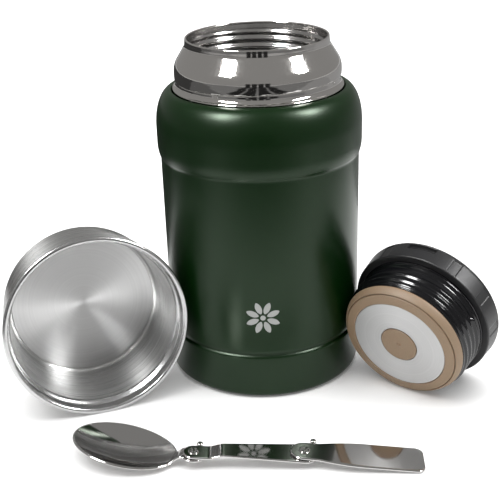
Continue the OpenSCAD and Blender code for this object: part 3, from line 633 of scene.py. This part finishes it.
well_wall = np.concatenate([line((41.6, 34.7), (39.35, 4.7)), arc((37.0, 4.6), 2.2, 2.2, -2, -75, 10)])
cup_well = revolve("cup_liner_wall", sheet(evenly(well_wall, 0.5), 0.6), AT_CUP, TURNS)
finished(cup_well, "cup", "brushed_steel", brushed, "cup_liner")

floor_line = np.concatenate([
    line((0, 2.4), (36.4, 2.4)), arc((36.9, 3.1), 0.7, 0.7, -90, -60, 4),
    line((37.3, 1.9), (36.5, 1.7), (0, 1.7)),
])
cup_floor = revolve("cup_floor", evenly(floor_line, 0.6), AT_CUP, TURNS, join_v=False)
finished(cup_floor, "cup", "brushed_steel", turned_steel, "cup_liner")

cup_lip = revolve("cup_rolled_lip", arc((44.75, CUP_LIP_Z), 1.3, 0.85, -25, 205, 21), AT_CUP, 256)
finished(cup_lip, "cup", "polished_steel", spun_lip, "cup_lip")

# %% [markdown]
# ## The stopper's cap
# The cap is a moulded ring with twelve narrow grip flats, a finger slot under the cover's edge and a
# notch for the hinge. A grid fine enough to hold them lets one bend cut all three: it moves the skirt's
# points inwards inside each flat and inside the slot, and moves the rim's points down inside the notch.

# %% Cap
CAP_Z, CAP_TOP, CAP_EDGE, CAP_RIM = 24.0, 34.0, 37.4, 38.1
FLATS = 12


def skirt(z):
    return CAP_EDGE + (CAP_RIM - CAP_EDGE) * (z - CAP_Z) / (CAP_TOP - CAP_Z)


cap_line = rounded(
    [(24, CAP_Z), (CAP_EDGE, CAP_Z), (CAP_RIM, CAP_TOP), (34.7, CAP_TOP), (34.7, 25.6), (24, 25.6)],
    [0.2, 0.7, 0.45, 0.3, 0.5, 0.2],
)


def cap_bend(u, r, z):
    """Cuts the flats, the finger slot and the hinge's notch into the cap's ring."""
    outside = r > skirt(z) - 1.0
    gap = (u * FLATS / (2 * np.pi) + 0.5) % 1 - 0.5
    across = np.abs(gap) * 2 * np.pi / FLATS * CAP_EDGE
    slot_side = np.abs(np.abs(u) - np.pi) * CAP_EDGE
    flat_z = step_up(z, 24.7, 25.1) * (1 - step_up(z, 33.0, 33.4))
    flat = (1 - step_up(across, 2.4, 2.75)) * flat_z * (slot_side > 9)
    slot = (1 - step_up(slot_side, 7.4, 7.75)) * step_up(z, 30.45, 30.7) * (1 - step_up(z, 33.3, 33.55))
    r = r - outside * (0.34 * flat + 1.8 * slot)
    y = r * np.sin(u)
    notch = (np.cos(u) > 0) * (np.abs(y) < 11.5) * (r > 34.2)
    return r, np.where(notch > 0, np.minimum(z, 32.8), z)


cap = revolve("cap", looped(cap_line, 0.32), AT_STOPPER, 640, cap_bend)
finished(cap, "stopper", "black_plastic", satin_black, "stopper_cap")


def prism(name, outline, start, end, place):
    """A closed outline in x and z, carried along y from start to end, with its ends closed on its middle."""
    mid = outline.mean(0)
    small = mid + (outline - mid) * 0.86
    pole = np.repeat(mid[None], len(outline), 0)
    rings = [pole, small, outline, outline, small, pole]
    ys = [start, start, start + 0.2, end - 0.2, end, end]
    layers = [np.column_stack([ring[:, 0], np.full(len(ring), y), ring[:, 1]]) for ring, y in zip(rings, ys)]
    return skin(name, np.stack(layers), place, join_u=False)


HINGE_X, HINGE_Z = 35.8, 34.3
KNUCKLE_R, EAR_BASE_Z = 1.2, 32.75
ear = np.concatenate([
    arc((HINGE_X, HINGE_Z), KNUCKLE_R, KNUCKLE_R, 0, 180, 17),
    line((HINGE_X - KNUCKLE_R, EAR_BASE_Z), (HINGE_X + KNUCKLE_R, EAR_BASE_Z)),
])
for side, (start, end) in {"left": (-11.0, -7.1), "right": (7.3, 11.2)}.items():
    finished(prism(f"hinge_ear_{side}", ear, start, end, AT_STOPPER), "stopper", "black_plastic", satin_black)

# %% [markdown]
# ## The cover of the spoon's compartment
# The folded spoon lives inside the stopper under a flat cover. Its disc is cut straight at the hinge,
# which is again a bend: no point's x may pass the cut. A thin gap under its edge gives the dark seam
# round the top of the cap.

# %% Cover and knuckle
cover_line = np.concatenate([
    line((0, 35.35), (26, 35.45), (36.6, 35.5)), arc((37.1, 34.9), 0.7, 0.6, 75, -60, 10),
    line((36.9, 34.3), (34.35, 34.3), (34.2, 33.0), (33.0, 33.0), (32.9, 34.3), (0, 34.3)),
])


def cover_bend(u, r, z):
    """Cuts the disc straight at the hinge and round its ears, and ends the locating ring short of it."""
    x, y = r * np.cos(u), np.abs(r * np.sin(u))
    cut = np.where((y > 6.7) & (y < 11.4), 34.2, 35.8)
    r = np.where(x > cut, cut / np.maximum(np.cos(u), 0.3), r)
    return r, np.where((x > 31.4) & (z < 34.3), 34.3, z)


cover = revolve("cover", evenly(cover_line, 0.35), AT_STOPPER, 440, cover_bend, join_v=False)
finished(cover, "cover", "black_plastic", satin_black, "cap_cover")
knuckle_line = arc((HINGE_X, HINGE_Z), KNUCKLE_R, KNUCKLE_R, 0, 360, 33)[:-1]
knuckle = prism("cover_knuckle", knuckle_line, -7, 7, AT_STOPPER)
finished(knuckle, "cover", "black_plastic", satin_black)

# %% [markdown]
# ## The barrel and its thread
# Below the cap the barrel has a smooth shoulder, then three turns of a rounded right-hand thread. A short
# stop ridge stands on the shoulder: it starts with a blunt nub, as moulded threads do, so its fade is
# short.

# %% Barrel
barrel_line = np.concatenate([
    line((24, 24.0), (33.9, 24.0)), arc((33.9, 23.4), 0.3, 0.5, 90, -60, 6),
    sway((33.6, 22.9), (32.6, 20.2), 12),
    line((32.6, 19), (32.6, 6.1)), arc((32.1, 6.0), 0.5, 0.5, 0, -90, 6),
    line((24.2, 5.5), (24.2, 14.2), (1.6, 14.2), (1.6, 16), (24, 16)),
])


def barrel_bend(u, r, z):
    """Raises the thread on the barrel's outer face."""
    turn = (np.degrees(u) + 112) % 360
    outside = (r > 32) * (z > 5.9) * (z < 23)
    thread = 1.05 * hump(helix_gap(u, z, 17.3, 4.2) / 1.85) * (z < 17.6 + turn / 90) * step_up(z, 6.0, 7.4)
    top = 19.7 + 4.2 * turn / 360
    thread = thread * (1 - step_up(z, 17.2, 18.4))
    stop = 1.3 * hump((z - top) / 1.7) * step_up(turn, 0, 2.5) * (1 - step_up(turn, 120, 150))
    return r + outside * (thread + stop), z


barrel = revolve("barrel", looped(barrel_line, 0.34), AT_STOPPER, 320, barrel_bend)
finished(barrel, "stopper", "gloss_black", gloss_black, "stopper_barrel")

# %% [markdown]
# ## Gasket, disc and vent
# The silicone gasket has a soft front face, a thin groove and a flank that seals on the jar's seat. The
# disc inside it is turned steel, and the vent plug in the disc's middle has a small nib where it was
# moulded.

# %% Gasket, disc, plug and button
gasket_line = np.concatenate([
    arc((25.5, 1.0), 0.45, 0.7, 180, 90, 5) * [1, -1] + [0, 1.35],
    arc((29.2, 1.05), 0.7, 0.7, -90, 0, 8), line((29.85, 1.9), (30.15, 1.9), (30.2, 1.3)),
    arc((30.45, 1.3), 0.25, 0.3, 180, 300, 5), line((31.2, 1.75), (32.1, 3.3)),
    arc((31.9, 4.5), 0.6, 0.9, -35, 80, 9),
    line((24.05, 5.4), (24.05, 1.3), (25.05, 1.3)),
])
gasket = revolve("gasket", looped(gasket_line, 0.2), AT_STOPPER, 256)
finished(gasket, "stopper", "tan_silicone", silicone, "main_gasket")

disc_line = rounded([(10.0, 0), (25, 0), (25, DISC_T), (10.0, DISC_T)], [0.3, 0.35, 0.1, 0.1])
disc = revolve("disc", looped(disc_line, 0.25), AT_STOPPER, 256)
finished(disc, "stopper", "brushed_steel", disc_steel, "steel_disc")

plug_line = np.concatenate([
    line((0, -0.75)), arc((0.4, -0.5), 0.5, 0.25, -90, 0, 5), line((0.95, -0.3), (1.5, -0.22), (8.9, -0.35)),
    arc((9.2, 0.1), 0.5, 0.45, -90, 0, 6), line((9.7, 0.95), (0, 0.95)),
])
plug = revolve("vent_plug_face", evenly(plug_line, 0.2), AT_STOPPER, 160, join_v=False)
finished(plug, "vent", "tan_silicone", silicone, "vent_plug")

button_line = np.concatenate([
    line((0, 19.7), (2.5, 19.65)), arc((2.5, 21), 3.5, 1.05, -90, -10, 8),
    arc((6.4, 19.6), 0.6, 0.35, 90, 0, 5),
    line((7, 18.6), (6.6, 18.3), (1.55, 18.3), (1.55, 18.88), (0, 18.88)),
])
button = revolve("button", evenly(button_line, 0.25), AT_STOPPER, 128, join_v=False)
finished(button, "vent", "black_plastic", satin_black, "vent_button")

# %% [markdown]
# ## Leaves of the spoon
# The spoon's three leaves are blanked from one sheet, pressed, and tumbled until their edges are round. A
# leaf is one surface: u runs along it and v runs once round its section. Any point is the top face's
# point, less k times the thickness along the normal, plus a round edge pushed out across the outline.

# %% The leaf surface
EDGE_POINTS = 7  # round each edge of a leaf


def leaf(name, outline, height, thick, place, across=25):
    """Sheet leaf. outline holds (x, half width) from one pole to the other; height(x, y) is its top face.
    s runs over the top, round an edge, under and back; k is the depth in the sheet; e is the edge's bulge."""
    side = np.linspace(1, -1, across)
    b = np.linspace(0, np.pi, EDGE_POINTS + 2)[1:-1]
    s = np.concatenate([side, np.full(EDGE_POINTS, -1.0), -side, np.full(EDGE_POINTS, 1.0)])[None]
    k = np.concatenate([0 * side, (1 - np.cos(b)) / 2, 0 * side + 1, (1 + np.cos(b)) / 2])[None]
    e = np.concatenate([0 * side, np.sin(b), 0 * side, np.sin(b)])[None] * thick / 2
    x, w = outline[:, :1], outline[:, 1:]
    d = np.gradient(outline, axis=0)
    d[0], d[-1] = (0, 1), (0, -1)
    out = np.column_stack([-d[:, 1], d[:, 0]]) / np.linalg.norm(d, axis=1, keepdims=True)
    inset = thick / 2
    w = np.maximum(w - inset * np.abs(out[:, 1:]), 0)
    x = x - inset * out[:, :1]
    y = w * s
    h = 0.02
    zx = (height(x + h, y) - height(x - h, y)) / (2 * h)
    zy = (height(x, y + h) - height(x, y - h)) / (2 * h)
    n = np.stack([-zx, -zy, 1 + 0 * zx], -1)
    n /= np.linalg.norm(n, axis=-1, keepdims=True)
    p = np.stack([x + 0 * y, y, height(x, y) + 0 * y], -1) - (k * thick)[..., None] * n
    p[..., 0] += e * out[:, :1]
    p[..., 1] += e * np.sign(s) * out[:, 1:]
    return skin(name, p, place, join_u=False)


print("leaf surface ready")

# %% [markdown]
# ### Bowl and tang
# The bowl is oval, tips up a little and sinks along a power curve, steep near its rim. Its outline and
# the tang's are blended by a smooth maximum, which leaves the fillet that a pressed spoon has where the
# bowl narrows.

# %% Bowl, tang and the first stop
SPOON_T, REACH, BOWL_HALF, BOWL_WIDE, BOWL_SINK = 1.2, 33.5, 24.7, 16.3, 4.9
BOWL_TURN, BOWL_PITCH, BOWL_DROP = -13.2, 5.0, 1.3
EAR, SIDE = 5.7, 4.2


def bowl_top(x, y):
    """Top face: inside the oval rim a power curve is sunk below a plane that is pitched tip up. Between the
    rim and the ear the sheet bends up to the level tang."""
    plane = -BOWL_DROP - (x + REACH) * math.tan(math.radians(BOWL_PITCH))
    u = np.hypot((x + REACH) / BOWL_HALF, y / BOWL_WIDE)
    sunk = plane - BOWL_SINK * (1 - np.clip(u, 0, 1) ** 2.2)
    return sunk * (1 - step_up(x, -10.6, -5.0))


q = np.linspace(0, np.pi, 97)
oval_x = -REACH - BOWL_HALF * np.cos(q)
oval_w = BOWL_WIDE * np.sin(q)
ear_x = -EAR * np.cos(np.linspace(0.94, np.pi, 28))
tang_x = np.concatenate([np.linspace(-REACH + BOWL_HALF, -3.4, 12)[1:], ear_x])
stations = np.concatenate([oval_x, tang_x])
ear_w = np.sqrt(np.maximum(EAR**2 - stations**2, 0))
strip_w = np.where(stations < 0, SIDE, 0) * step_up(stations, -30, -11)
oval_all = np.concatenate([oval_w, 0 * tang_x])
BLEND = 2.6  # power of the smooth maximum: higher is a tighter fillet
half_w = (oval_all**BLEND + np.maximum(strip_w, ear_w) ** BLEND) ** (1 / BLEND)
bowl_line, at_bowl = np.column_stack([stations, half_w]), turned(AT_SPOON, BOWL_TURN)
bowl = leaf("spoon_bowl_tang", bowl_line, bowl_top, SPOON_T, at_bowl, 45)
finished(bowl, "bowl", "polished_steel", spoon_steel, "spoon_bowl")


ARM_HALF, STUD_R, STUD_GAP = 1.8, 1.5, 0.3


def arm(name, body, place, length, z):
    """The tab beside an ear that carries a stop stud: a capsule-shaped leaf."""
    outline = np.concatenate([
        arc((0, 0), ARM_HALF, ARM_HALF, 180, 90, 9), line((length / 2, ARM_HALF)),
        arc((length, 0), ARM_HALF, ARM_HALF, 90, 0, 9),
    ])
    piece = leaf(name, evenly(outline, 0.4), lambda x, y: z + 0 * (x + y), SPOON_T, place, 9)
    finished(piece, body, "polished_steel", spoon_steel)


def stud(name, body, place, low, high):
    """A domed pin that stops the leaf above."""
    outline = np.concatenate([
        line((0, low), (1.3, low), (STUD_R, low + 0.2), (STUD_R, high - 0.7)),
        arc((0.7, high - 0.7), 0.8, 0.7, 0, 90, 7), line((0, high)),
    ])
    finished(revolve(name, outline, place, 48, join_v=False), body, "polished_steel", spoon_steel)


LINK_HALF, TANG_ARM_TURN = 5.05, 68
tang_stop = (LINK_HALF + STUD_GAP + STUD_R) / math.sin(math.radians(TANG_ARM_TURN))
at_tang_arm = turned(AT_SPOON, TANG_ARM_TURN)
arm("tang_stop_arm", "bowl", at_tang_arm, tang_stop, 0)
stud("tang_stop_stud", "bowl", turned(at_tang_arm, 0, tang_stop), -0.6, 1.75)

# %% [markdown]
# ### Link and handle
# The link steps up beside its first rivet, so that it can lie flat on the bowl's tang and still clear the
# rim. The step is half a cosine wave in its height. The handle widens to a square end with round corners.

# %% Link, handle and the second stop
LINK_Z, BODY_Z, HANDLE_Z = 0.2, 2.1, 3.5
link_outline = np.concatenate([
    arc((0, 0), LINK_HALF, LINK_HALF, 180, 90, 24), line((14, LINK_HALF)),
    arc((LINK_LEN, 0), 7.3, 7.3, 93.5, 0, 32),
])


def link_top(x, y):
    return LINK_Z + SPOON_T + (BODY_Z - LINK_Z) * step_up(x, 6.5, 14) + 0 * y


link = leaf("spoon_link_leaf", evenly(link_outline, 0.5), link_top, SPOON_T, AT_SPOON)
finished(link, "link", "polished_steel", spoon_steel, "spoon_link")
HANDLE_EAR, HANDLE_TURN, LINK_ARM_TURN = 6.5, -3.5, 60
link_stop = (HANDLE_EAR + STUD_GAP + STUD_R) / math.sin(math.radians(LINK_ARM_TURN - HANDLE_TURN))
at_link_arm = turned(AT_SPOON, LINK_ARM_TURN, LINK_LEN)
arm("link_stop_arm", "link", at_link_arm, link_stop, BODY_Z + SPOON_T)
at_link_stud = turned(at_link_arm, 0, link_stop)
stud("link_stop_stud", "link", at_link_stud, BODY_Z + 0.6, HANDLE_Z + SPOON_T + 0.5)

swell = np.linspace(0, 1, 40)
handle_outline = np.concatenate([
    arc((0, 0), HANDLE_EAR, HANDLE_EAR, 180, 90, 24), line((3, HANDLE_EAR)),
    np.column_stack([6.5 + 21.2 * swell, HANDLE_EAR + 2.75 * np.sin(np.pi / 2 * swell)]),
    line((51.4, 9.25)), arc((51.4, 5.25), 4, 4, 90, 0, 16), line((55.4, 2), (55.4, 0)),
])


def handle_top(x, y):
    return HANDLE_Z + SPOON_T + 0 * (x + y)


at_handle = turned(AT_SPOON, HANDLE_TURN, LINK_LEN)
handle = leaf("spoon_handle_leaf", evenly(handle_outline, 0.5), handle_top, SPOON_T, at_handle)
finished(handle, "handle", "polished_steel", spoon_steel, "spoon_handle")

# %% [markdown]
# ### Rivets
# The rivets are peened by a tool with a star-shaped face. The bend lowers the head between the star's
# arms.

# %% Rivets


def rivet(name, body, node, place, low, high):
    outline = np.concatenate([
        line((0, high + 0.42), (0.6, high + 0.46), (1.3, high + 0.5)),
        arc((1.9, high + 0.05), 0.65, 0.42, 80, 0, 6),
        line((2.55, high - 0.05), (1.6, high - 0.05), (1.6, low)),
        line((2.55, low), (2.5, low - 0.3), (1.8, low - 0.48), (0, low - 0.5)),
    ])

    def peen(u, r, z):
        star = (0.5 + 0.5 * np.cos(5 * u)) * hump((r - 1.35) / 1.1) * (z > high)
        return r, z - 0.3 * star

    piece = revolve(name, evenly(outline, 0.12), place, 90, peen, join_v=False)
    finished(piece, body, "polished_steel", spoon_steel, node)


rivet("rivet_at_bowl", "bowl", "bowl_rivet", AT_SPOON, -SPOON_T, LINK_Z + SPOON_T + 0.05)
at_rivet = turned(AT_SPOON, 0, LINK_LEN)
rivet("rivet_at_handle", "link", "handle_rivet", at_rivet, BODY_Z, HANDLE_Z + SPOON_T + 0.05)

# %% [markdown]
# ## Pieces that stay as the CAD made them
# Parts inside the walls, and small pins, keep their CAD meshes. They still get real finishes, because a
# cutaway or an opened stopper shows them.

# %% Finishes of the hidden pieces
kept = {
    "base_plate": bare_steel, "evac_seal": bare_steel, "getter_can": bare_steel, "foil_wrap": foil,
    "foam_core": foam, "cover_pin": bare_steel, "vent_stem": bare_steel,
}
for name, material in kept.items():
    nodes[name].data.materials.clear()
    nodes[name].data.materials.append(material)
print("kept CAD nodes:", ", ".join(kept))

# %% [markdown]
# ## Table, light and camera
# A white table lies under one wide lamp, with a small lamp at each side. The lamps only light. Shiny surfaces
# show what stands around them, so they get panels that neither the camera nor matt surfaces see: two bright
# windows for the highlights on steel and coat, dark bars in front, and grey panels over the table's outer
# parts. The world is a quiet grey.

# %% Table and cards


def card(name, corners, material):
    mesh = bpy.data.meshes.new(name)
    mesh.from_pydata(corners, [], [(0, 1, 2, 3)])
    mesh.materials.append(material)
    piece = bpy.data.objects.new(name, mesh)
    bpy.context.scene.collection.objects.link(piece)
    return piece


table_white, tree, bsdf = shader(
    "table_white", (0.9, 0.9, 0.9), 0.6,
    specular_ior_level=0.0, emission_color=(1, 1, 1, 1), emission_strength=0.1,
)
relief(tree, object_noise(tree, 300, 2), 0.02, bsdf, 0.2)
card("table", [(-4, -4, 0), (4, -4, 0), (4, 4, 0), (-4, 4, 0)], table_white)

# %% Lights and world


def facing(at, aim):
    """Axes of a panel at one point whose face looks at another: its side, its up and its back."""
    back = unit(np.array(at, float) - np.array(aim, float))
    side = unit(np.cross((0, 0, 1) if abs(back[2]) < 0.99 else (0, 1, 0), back))
    return side, np.cross(back, side), back


def softbox(name, power, size, at, aim):
    """A lamp that only lights. What shiny surfaces mirror are the panels below."""
    data = bpy.data.lights.new(name, "AREA")
    data.energy, data.shape, data.size, data.size_y = power, "RECTANGLE", size[0], size[1]
    lamp = bpy.data.objects.new(name, data)
    bpy.context.scene.collection.objects.link(lamp)
    lamp.matrix_world = Matrix(frame_of(at, *facing(at, aim)).tolist())
    lamp.visible_glossy = False


WINDOW_LEFT, WINDOW_RIGHT, ON_JAR = (-0.62, -0.5, 0.95), (0.85, -0.3, 0.95), (0, 0, 0.1)
softbox("overhead", 60, (2.4, 2.4), (0, 0.4, 1.5), (0, 0.4, 0))
softbox("left_box", 2, (0.4, 0.5), WINDOW_LEFT, ON_JAR)
softbox("right_box", 2, (0.4, 0.5), WINDOW_RIGHT, ON_JAR)


def mirror_card(name, corners, brightness):
    """A panel that only shiny surfaces see: it shades nothing and hides from the camera."""
    material = bpy.data.materials.new(name)
    material.use_nodes = True
    bsdf = material.node_tree.nodes["Principled BSDF"]
    bsdf.inputs["Base Color"].default_value = (0, 0, 0, 1)
    bsdf.inputs["Roughness"].default_value = 1.0
    bsdf.inputs["Specular IOR Level"].default_value = 0.0
    bsdf.inputs["Emission Color"].default_value = (1, 1, 1, 1)
    bsdf.inputs["Emission Strength"].default_value = brightness
    piece = card(name, corners, material)
    piece.visible_camera = piece.visible_diffuse = piece.visible_shadow = False
    return piece


def on_table(x0, x1, y0, y1, z=0.0005):
    return [(x0, y0, z), (x1, y0, z), (x1, y1, z), (x0, y1, z)]


def window(at, aim, width, height):
    side, up, _ = facing(at, aim)
    corners = (-1, -1), (1, -1), (1, 1), (-1, 1)
    return [tuple(np.array(at) + a * side * width / 2 + b * up * height / 2) for a, b in corners]


WINDOW_SIZE, WINDOW_GLOW = (0.3, 0.38), 54
BAR_WIDTH, BAR_HEIGHT, BAR_GLOW, BAR_Y = 0.12, 0.3, 0.02, -1
mirror_card("window_left", window(WINDOW_LEFT, ON_JAR, *WINDOW_SIZE), WINDOW_GLOW)
mirror_card("window_right", window(WINDOW_RIGHT, ON_JAR, *WINDOW_SIZE), WINDOW_GLOW)
mirror_card("table_end", on_table(-2, 2, -2, -0.27), 0.2)
for i, x in enumerate((-0.3, -0.15, 0.0, 0.15)):
    x1 = x + BAR_WIDTH
    mirror_card(f"dark_strip_{i}", on_table(x, x1, BAR_Y, -0.32, 0.001), BAR_GLOW)
    upright_bar = [(x, BAR_Y, 0), (x1, BAR_Y, 0), (x1, BAR_Y, BAR_HEIGHT), (x, BAR_Y, BAR_HEIGHT)]
    mirror_card(f"dark_bar_{i}", upright_bar, BAR_GLOW)
mirror_card("table_left", on_table(-2, -0.27, -0.27, 0.2), 0.12)
mirror_card("table_back_left", on_table(-2, -0.06, 0.12, 2, 0.001), 0.05)
mirror_card("table_right", on_table(0.34, 2, -0.27, 0.35), 0.3)
mirror_card("table_back_right", on_table(0.06, 2, 0.2, 2, 0.001), 0.36)
world = bpy.data.worlds.new("room")
world.use_nodes = True
background = world.node_tree.nodes["Background"]
background.inputs["Color"].default_value = (1, 0.99, 0.97, 1)
background.inputs["Strength"].default_value = 0.3
bpy.context.scene.world = world
bpy.context.scene.view_settings.view_transform = "Standard"

# %% Camera
CAMERA_AT, SENSOR, LENS = np.array([-2.7, -495.7, 276.7]), 36.0, 72.6
pitch, roll, yaw = math.radians(23.49), math.radians(-1.81), math.radians(-0.46)
ahead = np.array([math.sin(yaw) * math.cos(pitch), math.cos(yaw) * math.cos(pitch), -math.sin(pitch)])
level = np.array([math.cos(yaw), -math.sin(yaw), 0])
upright = np.cross(level, ahead)
right = math.cos(roll) * level + math.sin(roll) * upright
above = -math.sin(roll) * level + math.cos(roll) * upright
camera_data = bpy.data.cameras.new("camera")
camera_data.sensor_width, camera_data.lens = SENSOR, LENS
camera = bpy.data.objects.new("camera", camera_data)
bpy.context.scene.collection.objects.link(camera)
camera.matrix_world = Matrix(frame_of(CAMERA_AT * MM, right, above, -ahead).tolist())
bpy.context.scene.camera = camera
print("camera lens", camera_data.lens, "mm")
